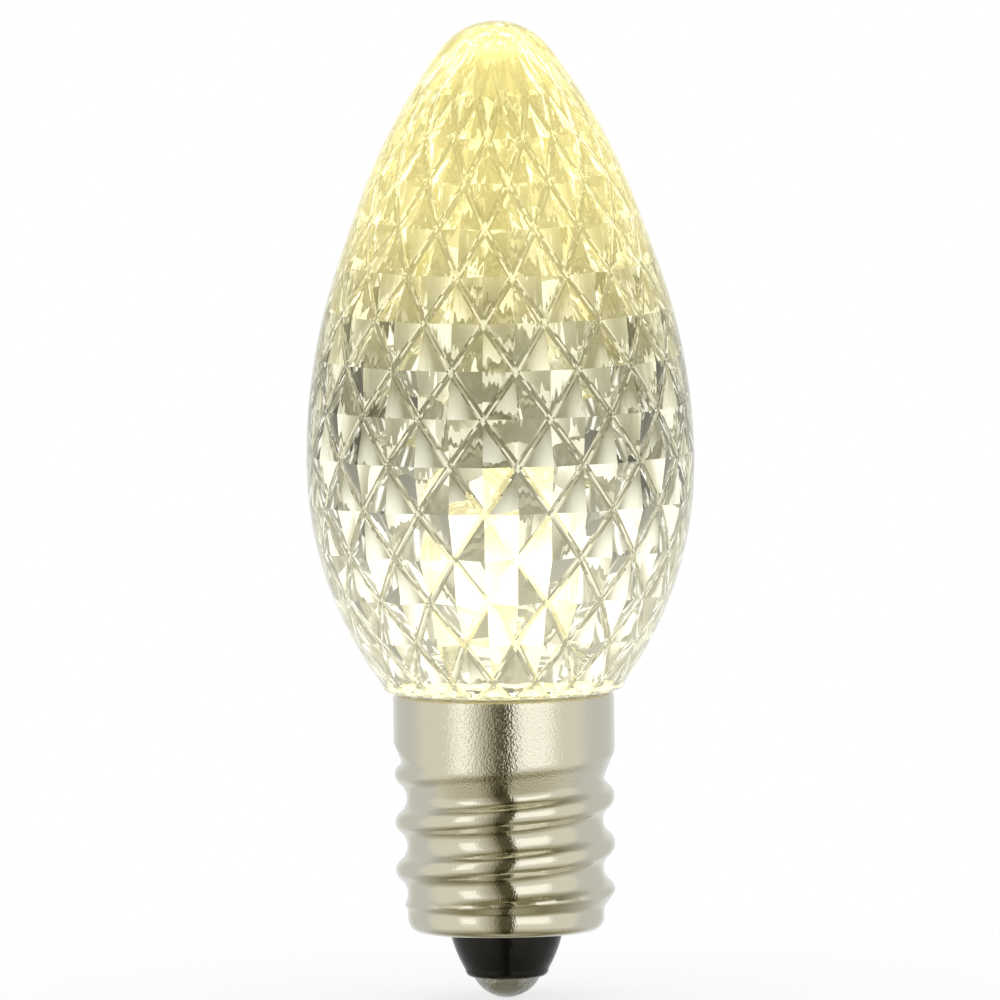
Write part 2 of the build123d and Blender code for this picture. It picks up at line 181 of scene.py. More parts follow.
class LampFinishSettings(bpy.types.PropertyGroup):
    """Colours of the lamp, and the light that its moulding carries, which is painted into the moulding as
    its colour and its own glow.
    """

    shell_tint: colour("Shell Tint", "Clear moulding away from the glow", (0.98, 0.975, 0.9))
    # Painted glow: the clear moulding's colour turns yellow towards the tip, standing in for the lamp's
    # light gathering there.
    painted_glow_tint: colour("Glow Tint", "Clear moulding where the light gathers", (0.99, 0.95, 0.7))
    # Painted shade: the clear moulding turns darker and olive where it is seen at a slant.
    slant_shade_tint: colour("Edge Tint", "Clear moulding seen at a slant", (0.74, 0.72, 0.58))
    # Painted shade: the faces of the ridges are coloured darker and olive, for the dark lines along them.
    ridge_shade_tint: colour("Ridge Tint", "Rounded ridges inside the moulding", (0.58, 0.56, 0.44))
    # Painted glow: the clear moulding gives off light of its own in these colours and strengths, standing
    # in for the lamp's light carried through it.
    near_glow: colour("Near Glow", "Light in the moulding round the source", (1.0, 0.97, 0.78))
    glow: colour("Glow", "Light that the moulding carries up to the tip", (1.0, 0.88, 0.34))
    near_light: number("Near Light", "Strength of the light in the foot of the moulding", 0.085)
    carried_light: number("Carried Light", "Strength of the light in the upper moulding", 0.142)
    tip_light: number("Tip Light", "Strength that is added under the tip", 0.13)
    lit: colour("Lit", "Colour of the light source", (1.0, 0.94, 0.7))
    lit_rim: colour("Lit Rim", "Colour of the light away from its source", (1.0, 0.8, 0.18))
    nickel: colour("Nickel", "Plated sheet", (0.72, 0.69, 0.6))
    insulator: colour("Insulator", "Black moulding", (0.006, 0.006, 0.006))
    solder: colour("Solder", "Solder", (0.5, 0.5, 0.5))
    eyelet: colour("Eyelet", "Tinned eyelet of the bottom contact", (0.6, 0.6, 0.58))
    tinned: colour("Tinned Lead", "Tinned wire and strip", (0.72, 0.72, 0.7))
    chip: colour("Chip", "Chip of the light source", (0.6, 0.7, 0.8))
    gold: colour("Gold", "Bond wire", (0.85, 0.66, 0.3))
    # The board and the cement also give off a painted glow in this colour, standing in for the lamp's light
    # on them.
    laminate: colour("Laminate", "Circuit board and cement, in the lamp's light", (0.9, 0.85, 0.6))
    resistor: colour("Resistor", "Dipped body of the resistor", (0.72, 0.62, 0.45))
    diode: colour("Diode", "Moulded body of the diode", (0.03, 0.03, 0.03))


class LampStudioSettings(bpy.types.PropertyGroup):
    """Camera and floor."""

    elevation: angle("Elevation", "Camera height above the horizon", 4.8)
    roll: angle("Roll", "Lean of the lamp in the frame", 0.75)
    frame_width: length("Frame Width", "Width that the frame covers at the lamp", 53.0)
    target_height: length("Target Height", "Height of the middle of the frame", 10.1)
    target_side: length("Target Side", "Distance of the middle of the frame from the axis", -0.05)
    distance: length("Distance", "Distance of the camera", 2000.0)
    floor_radius: length("Floor Radius", "Radius of the floor", 60.0)
    floor_whiteness: number("Floor Whiteness", "Share of plain white in the floor at the lamp's foot", 0.7)


def in_space(radius, height, turn):
    """Turn a radius and height point about the axis, by an angle counted from the front."""
    return Vector((radius * math.sin(turn), -radius * math.cos(turn), height))


def shell_arcs(shell):
    """Start radius, start height, start lean, length and bend of each stretch of the outline."""
    rise = shell.belly_height - shell.foot_rounding
    spread = shell.belly_radius - shell.foot_radius
    lower_radius = (rise**2 + spread**2) / (2 * spread)
    lower_lean = math.asin(rise / lower_radius)
    turn_rates = [
        (lower_radius * lower_lean, 1 / lower_radius),
        (shell.side_radius * shell.taper_angle, 1 / shell.side_radius),
        (shell.taper_length, 0.0),
        (shell.shoulder_radius * (shell.shoulder_angle - shell.taper_angle), 1 / shell.shoulder_radius),
    ]
    arcs = []
    radius, height, lean = shell.foot_radius, shell.foot_rounding, lower_lean
    for stretch, bend in turn_rates:
        arcs.append((radius, height, lean, stretch, bend))
        radius, height, lean = along_arc(arcs[-1], stretch)
    tip_radius = radius / math.cos(shell.shoulder_angle)
    arcs.append((radius, height, lean, tip_radius * (math.pi / 2 - shell.shoulder_angle), 1 / tip_radius))
    return arcs


def along_arc(arc, distance):
    """Radius, height and lean at a distance along one stretch of the outline."""
    radius, height, lean, _, bend = arc
    if bend == 0.0:
        return radius + distance * math.sin(lean), height + distance * math.cos(lean), lean
    end = lean - distance * bend
    outwards = (math.cos(end) - math.cos(lean)) / bend
    upwards = (math.sin(lean) - math.sin(end)) / bend
    return radius + outwards, height + upwards, end


def outline_length(arcs):
    """Length of the whole outline from the foot to the tip."""
    return sum(arc[3] for arc in arcs)


def wall_point(arcs, distance, inset):
    """Radius and height at a distance along the outline from the foot, set in from the outside."""
    for arc in arcs:
        if distance <= arc[3] or arc is arcs[-1]:
            break
        distance -= arc[3]
    radius, height, lean = along_arc(arc, distance)
    return radius - inset * math.cos(lean), height + inset * math.sin(lean)


def facet_place(shell, arcs, row, inset):
    """Point under the pits at a row counted from the foot, where row -1 is the top of the bore."""
    if row < 0:
        return shell.neck_bore_radius, 0.0
    row_length = (outline_length(arcs) - shell.facet_tip_margin) / shell.facet_rows
    return wall_point(arcs, row * row_length, inset)


def deselect_all():
    """Nothing is selected or in edit mode after this."""
    if bpy.context.object is not None and bpy.context.object.mode != "OBJECT":
        bpy.ops.object.mode_set(mode="OBJECT")
    bpy.ops.object.select_all(action="DESELECT")


def make_active(piece):
    """Select one piece alone and make it active."""
    deselect_all()
    piece.select_set(True)
    bpy.context.view_layer.objects.active = piece


def ring_tube(name, columns, rings, place):
    """A tube of rings from a cylinder with subdivided sides, each point set by place(ring, column)."""
    deselect_all()
    bpy.ops.mesh.primitive_cylinder_add(vertices=columns, radius=1.0, depth=2.0, end_fill_type="NOTHING")
    piece = bpy.context.object
    piece.name = piece.data.name = name
    bpy.ops.object.mode_set(mode="EDIT")
    bpy.ops.mesh.select_mode(type="EDGE")
    bpy.ops.mesh.select_all(action="DESELECT")
    bpy.ops.object.mode_set(mode="OBJECT")
    points = piece.data.vertices
    for edge in piece.data.edges:
        low, high = (points[i].co.z for i in edge.vertices)
        edge.select = abs(low - high) > 1.0
    bpy.ops.object.mode_set(mode="EDIT")
    if rings > 2:
        bpy.ops.mesh.subdivide(number_cuts=rings - 2)
    bpy.ops.mesh.select_mode(type="VERT")
    bpy.ops.object.mode_set(mode="OBJECT")
    for point in piece.data.vertices:
        ring = round((point.co.z + 1.0) / 2.0 * (rings - 1))
        column = round(math.atan2(point.co.x, -point.co.y) / (2 * math.pi) * columns) % columns
        point.co = place(ring, column)
    return piece


def turned_piece(name, profile, columns, sharp):
    """A body of revolution through radius and height points, smooth where it bends less than an angle."""

    def place(ring, column):
        radius, height = profile[ring]
        return in_space(radius, height, 2 * math.pi * column / columns)

    piece = ring_tube(name, columns, len(profile), place)
    merge_ends(piece)
    bpy.ops.object.shade_smooth_by_angle(angle=math.radians(sharp))
    return piece


def merge_ends(piece):
    """Merge the points that fell together at a pole or a seam, and point all faces outwards."""
    make_active(piece)
    bpy.ops.object.mode_set(mode="EDIT")
    bpy.ops.mesh.select_all(action="SELECT")
    bpy.ops.mesh.remove_doubles(threshold=0.1 * SAME_PLACE)
    bpy.ops.mesh.normals_make_consistent(inside=False)
    bpy.ops.object.mode_set(mode="OBJECT")


def arc_points(centre, radius, start, end, steps):
    """Points of an arc in the radius and height plane, at evenly spaced angles."""
    points = []
    for i in range(steps + 1):
        turn = start + (end - start) * i / steps
        points.append((centre[0] + radius * math.cos(turn), centre[1] + radius * math.sin(turn)))
    return points


def dome_over(radius, rise):
    """Radius of the ball that a round cap of some radius and rise is cut from."""
    return (radius**2 + rise**2) / (2 * rise)


def select_points(piece, wanted):
    """Select the points of a piece that a test picks by their index."""
    make_active(piece)
    bpy.ops.object.mode_set(mode="EDIT")
    bpy.ops.mesh.select_mode(type="VERT")
    bpy.ops.mesh.select_all(action="DESELECT")
    bpy.ops.object.mode_set(mode="OBJECT")
    for point in piece.data.vertices:
        point.select = wanted(point.index)


def new_material(name):
    """An empty node material and its tree."""
    material = bpy.data.materials.new(name)
    material.use_nodes = True
    material.node_tree.nodes.clear()
    return material, material.node_tree


def feed(tree, socket, value):
    """Join a socket to another one, or set it to a number, a vector or a colour."""
    if isinstance(value, bpy.types.NodeSocket):
        tree.links.new(value, socket)
    elif socket.type == "RGBA":
        socket.default_value = (*value, 1.0)
    else:
        socket.default_value = value


def add_node(tree, kind, **sockets):
    """A node of a kind with its sockets fed, where underscores in their names stand for blanks."""
    node = tree.nodes.new(kind)
    for name, value in sockets.items():
        feed(tree, node.inputs[name.replace("_", " ")], value)
    return node


def operate(tree, kind, operation, *values):
    """A Math or Vector Math node that works on sockets, numbers or vectors."""
    node = tree.nodes.new(kind)
    node.operation = operation
    for socket, value in zip(node.inputs, values):
        feed(tree, socket, value)
    return node


def calculate(tree, operation, *values):
    """The result of a Math node on sockets or numbers."""
    return operate(tree, "ShaderNodeMath", operation, *values).outputs["Value"]


def map_range(tree, value, low, high, to_low=0.0, to_high=1.0, change="SMOOTHSTEP"):
    """A change of a value between two limits, which is smooth unless told otherwise."""
    node = add_node(
        tree,
        "ShaderNodeMapRange",
        Value=value,
        From_Min=low,
        From_Max=high,
        To_Min=to_low,
        To_Max=to_high,
    )
    node.interpolation_type = change
    return node.outputs["Result"]


def mix_colours(tree, share, first, second, kind="MIX"):
    """A colour between two others, or put together from both in another way."""
    node = tree.nodes.new("ShaderNodeMix")
    node.data_type = "RGBA"
    node.blend_type = kind
    for name, value in (("Factor", share), ("A", first), ("B", second)):
        feed(tree, node.inputs[name], value)
    return node.outputs["Result"]


def colour_ramp(tree, value, low, high, stops):
    """A colour that follows a value through stops, each a place and its colour, from low up to high."""
    node = add_node(tree, "ShaderNodeValToRGB", Fac=map_range(tree, value, low, high, change="LINEAR"))
    elements = node.color_ramp.elements
    elements.remove(elements[1])
    elements[0].color = (*stops[0][1], 1.0)
    for at, tone in stops[1:]:
        elements.new((at - low) / (high - low)).color = (*tone, 1.0)
    return node.outputs["Color"]


def object_place(tree):
    """The place of a point of the piece."""
    return tree.nodes.new("ShaderNodeTexCoord").outputs["Object"]


def distance_from(tree, place):
    """The distance of a point of the piece from a place."""
    return operate(tree, "ShaderNodeVectorMath", "DISTANCE", object_place(tree), place).outputs["Value"]


def change_up(tree, low, high, to_low=0.0, to_high=1.0):
    """A value that changes between two heights, given in millimetres above the rim."""
    split = add_node(tree, "ShaderNodeSeparateXYZ", Vector=object_place(tree))
    return map_range(tree, split.outputs["Z"], low * MM, high * MM, to_low, to_high)


def object_noise(tree, marks, detail, roughness, stretch=(1.0, 1.0, 1.0)):
    """Noise over the piece, with a number of marks to the millimetre and a stretch along each axis."""
    scaled = operate(tree, "ShaderNodeVectorMath", "MULTIPLY", object_place(tree), stretch)
    noise = add_node(
        tree,
        "ShaderNodeTexNoise",
        Vector=scaled.outputs["Vector"],
        Scale=marks / MM,
        Detail=detail,
        Roughness=roughness,
    )
    return noise.outputs["Fac"]


def relief(tree, height, strength, depth):
    """The direction of a surface with a relief on it, whose depth is in millimetres."""
    bump = add_node(tree, "ShaderNodeBump", Height=height, Strength=strength, Distance=depth * MM)
    return bump.outputs["Normal"]


def slant_of(tree):
    """How far a surface turns away from the eye, from 0 when it faces the eye to 1 at its rim."""
    return add_node(tree, "ShaderNodeLayerWeight", Blend=0.5).outputs["Facing"]


def ray_kind(tree, name):
    """A socket that is one for rays of a kind."""
    return tree.nodes.new("ShaderNodeLightPath").outputs[name]


def seen_directly(tree):
    """A socket that is one for camera, glossy and transmission rays."""
    bounced = calculate(
        tree, "MAXIMUM", ray_kind(tree, "Is Glossy Ray"), ray_kind(tree, "Is Transmission Ray")
    )
    return calculate(tree, "MAXIMUM", ray_kind(tree, "Is Camera Ray"), bounced)


def mix_surfaces(tree, share, first, second):
    """A surface between two others."""
    node = add_node(tree, "ShaderNodeMixShader", Fac=share)
    feed(tree, node.inputs[1], first.outputs[0])
    feed(tree, node.inputs[2], second.outputs[0])
    return node


def finish_surface(tree, surface):
    """Join a surface to the material's output."""
    add_node(tree, "ShaderNodeOutputMaterial", Surface=surface.outputs[0])


def clear_shell_finish(finish):
    """Clear moulding with fine streaks up its side, with painted shade on its slants and ridges, and a
    painted glow in its colour and its own light, which stand in for the lamp's light that it carries from
    the foot to the tip.
    """
    material, tree = new_material("clear_moulding")
    # Painted glow in the colour: yellower from 12 to 30 millimetres above the rim, where the lamp's light
    # gathers.
    glow_painted_colour = mix_colours(tree, change_up(tree, 12.0, 30.0), finish.shell_tint, finish.painted_glow_tint)
    # Painted shade: darker olive colour where the surface is seen at a slant, which darkens the outline and
    # the sides of the ridges.
    slant_shaded = mix_colours(tree, map_range(tree, slant_of(tree), 0.55, 1.0), glow_painted_colour, finish.slant_shade_tint)
    # Painted shade on the ridge faces, which the split of the ridges marks.
    ridge = tree.nodes.new("ShaderNodeAttribute")
    ridge.attribute_name = "ridge"
    ridge_shaded = mix_colours(tree, ridge.outputs["Fac"], slant_shaded, finish.ridge_shade_tint)
    # Painted glow: the moulding's own light, strongest at the foot, in the upper moulding and under the
    # tip.
    near = change_up(tree, 1.0, 18.0, finish.near_light, 0.0)
    carried = change_up(tree, 14.0, 28.5, 0.0, finish.carried_light)
    gathered = change_up(tree, 31.0, 34.6, 0.0, finish.tip_light)
    upper = calculate(tree, "ADD", carried, gathered)
    streaks = object_noise(tree, 2.2, 1.0, 0.4, stretch=(1.0, 1.0, 0.12))
    shader = add_node(
        tree,
        "ShaderNodeBsdfPrincipled",
        Base_Color=ridge_shaded,
        Roughness=0.0,
        IOR=1.5,
        Transmission_Weight=1.0,
        Emission_Color=mix_colours(tree, change_up(tree, 10.0, 22.0), finish.near_glow, finish.glow),
        Emission_Strength=calculate(tree, "ADD", upper, near),
        Normal=relief(tree, streaks, change_up(tree, 8.0, 30.0, 0.15, 1.0), 0.014),
    )
    finish_surface(tree, shader)
    return material


def nickel_finish(finish):
    """Bright plated sheet with the orange peel of thin plate, which is drawn smoother on the thread."""
    material, tree = new_material("nickel_plate")
    peel = object_noise(tree, 8.5, 1.5, 0.6)
    shader = add_node(
        tree,
        "ShaderNodeBsdfPrincipled",
        Base_Color=finish.nickel,
        Metallic=1.0,
        Roughness=map_range(tree, peel, 0.35, 0.7, 0.04, 0.12),
        Normal=relief(tree, peel, change_up(tree, -5.2, -4.2, 0.3, 1.0), 0.02),
    )
    finish_surface(tree, shader)
    return material


def grained_finish(name, tone, metallic, rough, marks, depth, lit=0.0, specular=0.5):
    """A surface with a fine grain, its depth in millimetres, and a painted glow in its own colour that
    stands in for the lamp's light falling on it.
    """
    material, tree = new_material(name)
    grain = object_noise(tree, marks, 3.0, 0.55)
    darker = [0.8 * part for part in tone]
    lighter = [min(1.0, 1.1 * part) for part in tone]
    mottled = mix_colours(tree, grain, darker, lighter)
    shader = add_node(
        tree,
        "ShaderNodeBsdfPrincipled",
        Base_Color=mottled,
        Metallic=metallic,
        Specular_IOR_Level=specular,
        Roughness=map_range(tree, grain, 0.3, 0.7, 0.8 * rough, min(1.0, 1.3 * rough)),
        Normal=relief(tree, grain, 0.5, depth),
    )
    # Painted glow: the surface gives off light in its own grained colour, though it is no lamp.
    if lit:
        feed(tree, shader.inputs["Emission Color"], mottled)
        feed(tree, shader.inputs["Emission Strength"], lit)
    finish_surface(tree, shader)
    return material


def lit_finish(name, finish, core_height, strength, reach, clearness):
    """A piece that glows round the lit chip, fades away from it, and is dimmer and yellower at its rim."""
    material, tree = new_material(name)
    away = distance_from(tree, (0.0, 0.0, core_height))
    glow = map_range(tree, away, 0.4 * reach, reach, strength, 0.1 * strength)
    slant = slant_of(tree)
    rim_share = map_range(tree, slant, 0.15, 0.7)
    shader = add_node(
        tree,
        "ShaderNodeBsdfPrincipled",
        Base_Color=finish.lit,
        Roughness=0.05,
        IOR=1.5,
        Transmission_Weight=clearness,
        Emission_Color=mix_colours(tree, rim_share, finish.lit, finish.lit_rim),
        Emission_Strength=calculate(tree, "MULTIPLY", glow, map_range(tree, slant, 0.05, 0.5, 1.0, 0.2)),
    )
    finish_surface(tree, shader)
    return material


def dress_node(node, material):
    """Give a carried-over node its material."""
    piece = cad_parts[node]
    if not piece.material_slots:
        piece.data.materials.append(material)
    for entry in piece.material_slots:
        entry.material = material


def place_piece(piece, material, slot, *nodes):
    """Give a new piece its material, its body and the nodes that it stands for."""
    piece.data.materials.clear()
    piece.data.materials.append(material)
    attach(piece, "root")
    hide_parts(*nodes)


class LAMP_OT_clear_shell(bpy.types.Operator):
    """Model the clear shell with its diamond pits"""

    bl_idname = "lamp.clear_shell"
    bl_label = "Clear Shell"

    def execute(self, context):
        shell = context.scene.lamp_shell
        arcs = shell_arcs(shell)
        outside = self.outside(shell, arcs)
        inside = self.inside(shell, arcs)
        deselect_all()
        inside.select_set(True)
        outside.select_set(True)
        bpy.context.view_layer.objects.active = outside
        bpy.ops.object.join()
        self.bridge_neck(outside, shell)
        place_piece(outside, clear_shell_finish(context.scene.lamp_finish), "clear_shell", "faceted_shell")
        return {"FINISHED"}

    def outside(self, shell, arcs):
        """Smooth outer wall with its rounded foot and its neck."""
        total, steps = outline_length(arcs), 96
        foot = shell.foot_rounding
        profile = [(shell.neck_radius, -shell.neck_length), (shell.neck_radius, 0.0)]
        profile += arc_points((shell.foot_radius - foot, foot), foot, -math.pi / 2, 0.0, steps=6)
        profile += [wall_point(arcs, total * i / steps, 0.0) for i in range(1, steps + 1)]
        profile[-1] = (0.0, profile[-1][1])
        return turned_piece("clear_shell", profile, columns=128, sharp=35)

    def inside(self, shell, arcs):
        """Flat-sided pits between rounded ridges, a domed cap above and the neck's bore below."""
        columns = 2 * shell.facet_columns
        half_turn = 2 * math.pi / columns
        last = shell.facet_rows
        flat_share = math.cos(half_turn)
        ring_radius, ring_height = facet_place(shell, arcs, last, shell.wall)
        cap = self.cap_profile(ring_radius * flat_share, ring_height, shell.cap_rise)
        neck = self.neck_profile(shell, flat_share)
        below, above = len(neck) + 1, len(cap)

        def place(ring, column):
            turn = shell.facet_turn + column * half_turn
            row = ring - below
            if row < -1:
                return in_space(*neck[ring], turn)
            if row > last:
                return in_space(*cap[row - last - 1], turn)
            radius, height = facet_place(shell, arcs, row, shell.wall)
            if (row + column) % 2 == 1:
                fading = min(1.0, (last + 1 - row) / shell.fading_rows)
                depth = shell.facet_depth * radius * half_turn * fading
                if -1 < row < last:
                    radius, height = facet_place(shell, arcs, row, shell.wall - depth)
                else:
                    radius += depth
            return in_space(radius, height, turn)

        piece = ring_tube("facets", columns, below + last + 1 + above, place)
        self.split_ridges(piece, arcs, shell)
        merge_ends(piece)
        bpy.ops.object.mode_set(mode="EDIT")
        bpy.ops.mesh.flip_normals()
        bpy.ops.object.mode_set(mode="OBJECT")
        bpy.ops.object.shade_flat()
        return piece

    def cap_profile(self, radius, height, rise):
        """The dome over the topmost ring of pits, from its edge to its pole."""
        dome_radius = dome_over(radius, rise)
        peak = height + rise
        start = math.atan2(height - (peak - dome_radius), radius)
        points = arc_points((0.0, peak - dome_radius), dome_radius, start, math.pi / 2, steps=10)
        points[-1] = (0.0, peak)
        return points

    def neck_profile(self, shell, flat_share):
        """The bore of the neck with its ledge, up to the lowest ring of pits."""
        ledge = shell.neck_bore_radius + shell.board_ledge
        return [
            (ledge, -shell.neck_length),
            (ledge, -shell.board_depth),
            (shell.neck_bore_radius, -shell.board_depth),
            (shell.neck_bore_radius * flat_share, 0.0),
        ]

    def split_ridges(self, piece, arcs, shell):
        """Cut each four-sided face along its ridge, round the ridges and mark their faces."""
        crossings = self.ridge_crossings(piece, arcs, shell)
        select_points(piece, lambda index: index in crossings)
        bpy.ops.object.mode_set(mode="EDIT")
        bpy.ops.mesh.vert_connect()
        bpy.ops.mesh.select_mode(type="EDGE")
        bpy.ops.mesh.select_all(action="DESELECT")
        bpy.ops.object.mode_set(mode="OBJECT")
        for edge in piece.data.edges:
            edge.select = all(index in crossings for index in edge.vertices)
        bpy.ops.object.mode_set(mode="EDIT")
        bpy.ops.mesh.bevel(offset=shell.ridge_width / 2, offset_type="OFFSET", segments=4, affect="EDGES")
        bpy.ops.object.mode_set(mode="OBJECT")
        # The marks pick the ridge faces for their painted shade.
        marks = piece.data.attributes.new("ridge", "FLOAT", "FACE")
        for face in piece.data.polygons:
            marks.data[face.index].value = float(face.select)
        bpy.ops.object.mode_set(mode="EDIT")
        bpy.ops.mesh.select_mode(type="VERT")
        bpy.ops.object.mode_set(mode="OBJECT")

    def ridge_crossings(self, piece, arcs, shell):
        """Indices of the points where ridges cross, which stand between the pits of each row."""
        half_turn = math.pi / shell.facet_columns
        last = shell.facet_rows
        rows = [(row, *facet_place(shell, arcs, row, shell.wall)) for row in range(-1, last + 1)]
        crossings = set()
        for point in piece.data.vertices:
            turn = math.atan2(point.co.x, -point.co.y) - shell.facet_turn
            for row, radius, height in rows:
                away = max(abs(point.co.z - height), abs(point.co.xy.length - radius))
                if away < SAME_PLACE and (row + round(turn / half_turn)) % 2 == 0:
                    crossings.add(point.index)
        return crossings

    def bridge_neck(self, piece, shell):
        """Close the bottom of the neck between the outer wall and the bore."""
        heights = [point.co.z for point in piece.data.vertices]
        select_points(piece, lambda index: abs(heights[index] + shell.neck_length) < SAME_PLACE)
        bpy.ops.object.mode_set(mode="EDIT")
        bpy.ops.mesh.select_mode(type="EDGE")
        bpy.ops.mesh.bridge_edge_loops()
        bpy.ops.mesh.select_mode(type="VERT")
        bpy.ops.object.mode_set(mode="OBJECT")


def soft_least(one, other, blend):
    """The lesser of two values, with a rounded change from one to the other."""
    gap = max(blend - abs(one - other), 0.0) / blend
    return min(one, other) - gap * gap * blend / 4


def soft_most(one, other, blend):
    """The greater of two values, with a rounded change from one to the other."""
    return -soft_least(-one, -other, blend)


def thread_radius(screw, height, turn):
    """Radius of the rolled thread at a height and a turn from the front."""
    both_arcs = (screw.pitch**2 / 8 + screw.thread_depth**2 / 2) / screw.thread_depth
    crest_arc = both_arcs * 2 * screw.crest_share
    root_arc = both_arcs - crest_arc
    phase = (height - screw.front_crest) / screw.pitch - turn / (2 * math.pi)
    share = abs(phase - round(phase))
    if share <= screw.crest_share:
        return screw.crest_radius - crest_arc + math.sqrt(crest_arc**2 - (screw.pitch * share) ** 2)
    from_root = screw.pitch * (share - 0.5)
    return screw.crest_radius - screw.thread_depth + root_arc - math.sqrt(root_arc**2 - from_root**2)


def collar_end(screw, turn):
    """Depth of the plain collar, which runs into the first crest from the front round to the right."""
    turn = (turn + math.pi) % (2 * math.pi) - math.pi
    first_crest = -screw.front_crest - screw.pitch - screw.pitch * turn / (2 * math.pi)
    share = min(1.0, max(0.0, (turn - screw.run_in_start) / screw.run_in_width))
    eased = share * share * (3 - 2 * share)
    return screw.collar_length + eased * max(0.0, first_crest - screw.collar_length)


def screw_radius(screw, height, turn):
    """Outer radius of the screw shell below its rim's rounding."""
    root = screw.crest_radius - screw.thread_depth
    under_collar = -collar_end(screw, turn) - height
    slope = (screw.collar_radius - root) / screw.taper_length
    radius = screw.collar_radius - max(under_collar, 0.0) * slope
    plain_margin = 0.1 * MM
    if under_collar >= -plain_margin:
        radius = soft_most(radius, thread_radius(screw, height, turn), screw.blend)
    fade_low = -screw.length + screw.fade_top - screw.fade_length
    run_out = root + max(height - fade_low, 0.0) * screw.thread_depth / screw.fade_length
    run_out_margin = 0.02 * MM
    radius = soft_least(radius, run_out + run_out_margin, screw.blend)
    return max(min(radius, screw.collar_radius), root)


class LAMP_OT_screw_shell(bpy.types.Operator):
    """Model the pressed screw shell with its rolled thread"""

    bl_idname = "lamp.screw_shell"
    bl_label = "Screw Shell"

    def execute(self, context):
        screw = context.scene.lamp_screw
        columns = 160
        rings = self.ring_heights(screw)
        corner = screw.bottom_rounding
        root = screw.crest_radius - screw.thread_depth
        bottom = [(screw.hole_radius, -screw.length)]
        bottom += arc_points((root - corner, corner - screw.length), corner, -math.pi / 2, 0.0, steps=8)
        rounding = screw.rim_rounding
        rim_centre = (screw.collar_radius - rounding, -rounding)
        rim = arc_points(rim_centre, rounding, 0.0, math.pi / 2, steps=5)

        def place(ring, column):
            turn = 2 * math.pi * column / columns
            if ring < len(bottom):
                return in_space(*bottom[ring], turn)
            if ring >= len(bottom) + len(rings):
                return in_space(*rim[ring - len(bottom) - len(rings)], turn)
            height = rings[ring - len(bottom)]
            return in_space(screw_radius(screw, height, turn), height, turn)

        piece = ring_tube("screw_sleeve", columns, len(bottom) + len(rings) + len(rim), place)
        merge_ends(piece)
        sheet = piece.modifiers.new("sheet", "SOLIDIFY")
        sheet.thickness = screw.sheet
        sheet.offset = -1.0
        bpy.ops.object.modifier_apply(modifier=sheet.name)
        bpy.ops.object.shade_smooth_by_angle(angle=math.radians(50))
        place_piece(piece, nickel_finish(context.scene.lamp_finish), "nickel_plate", "screw_shell")
        return {"FINISHED"}

    def ring_heights(self, screw):
        """Heights of the rings from the bottom corner up to the rim's rounding, close on the thread."""
        rings_to_a_turn, over_collar_end = 36, 0.3 * MM
        on_collar = [-1.9 * MM, -1.4 * MM, -0.9 * MM, -0.5 * MM]
        heights = []
        step = screw.pitch / rings_to_a_turn
        height = -screw.length + screw.bottom_rounding + step
        while height < -screw.collar_length + over_collar_end:
            heights.append(height)
            height += step
        return heights + on_collar


class LAMP_OT_base_end(bpy.types.Operator):
    """Model the insulator and the dome of solder under it"""

    bl_idname = "lamp.base_end"
    bl_label = "Base End"

    def execute(self, context):
        finish = context.scene.lamp_finish
        self.insulator(context.scene.lamp_screw, context.scene.lamp_base, finish)
        self.solder(finish)
        eyelet = grained_finish("tinned_eyelet", finish.eyelet, 1.0, rough=0.3, marks=3.0, depth=0.005)
        dress_node("centre_contact", eyelet)
        return {"FINISHED"}

    def insulator(self, screw, base, finish):
        """Black cone with a soft lower edge, a bore for the eyelet and a flange in the screw shell."""
        low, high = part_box("base_insulator")
        bore, edge, top_radius = base.bore_radius, base.edge_rounding, screw.hole_radius
        points = [(bore, low.z)]
        points += arc_points((base.end_radius - edge, low.z + edge), edge, -math.pi / 2, 0.0, steps=6)
        start, steps = low.z + edge, 12
        for i in range(1, steps + 1):
            share = i / steps
            height = start + (-screw.length - start) * share
            straight = base.end_radius + (top_radius - base.end_radius) * share
            points.append((min(straight + 4 * base.bulge * share * (1 - share), top_radius), height))
        flange = -screw.length + screw.sheet
        points += [(top_radius, flange), (high.x, flange), (high.x, high.z), (bore, high.z), (bore, low.z)]
        piece = turned_piece("black_insulator", points, columns=96, sharp=40)
        black = grained_finish(
            "black_moulding", finish.insulator, 0.0, rough=0.1, marks=2.6, depth=0.04, specular=0.25
        )
        place_piece(piece, black, "black_insulator", "base_insulator")

    def solder(self, finish):
        """Dome of solder, slightly uneven as it set, round the eyelet's disc."""
        low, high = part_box("contact_solder")
        disc_low, disc_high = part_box("centre_contact")
        radius = high.x
        dome_radius = dome_over(radius, high.z - low.z)
        end = -math.acos(min(1.0, radius / dome_radius))
        points = arc_points((0.0, low.z + dome_radius), dome_radius, -math.pi / 2, end, steps=14)
        points[0] = (0.0, low.z)
        points += [(disc_high.x, high.z), (disc_high.x, disc_low.z), (0.0, disc_low.z)]
        piece = turned_piece("solder_dome", points, columns=72, sharp=40)
        dull = grained_finish("set_solder", finish.solder, metallic=1.0, rough=0.3, marks=2.0, depth=0.4)
        place_piece(piece, dull, "solder", "contact_solder")


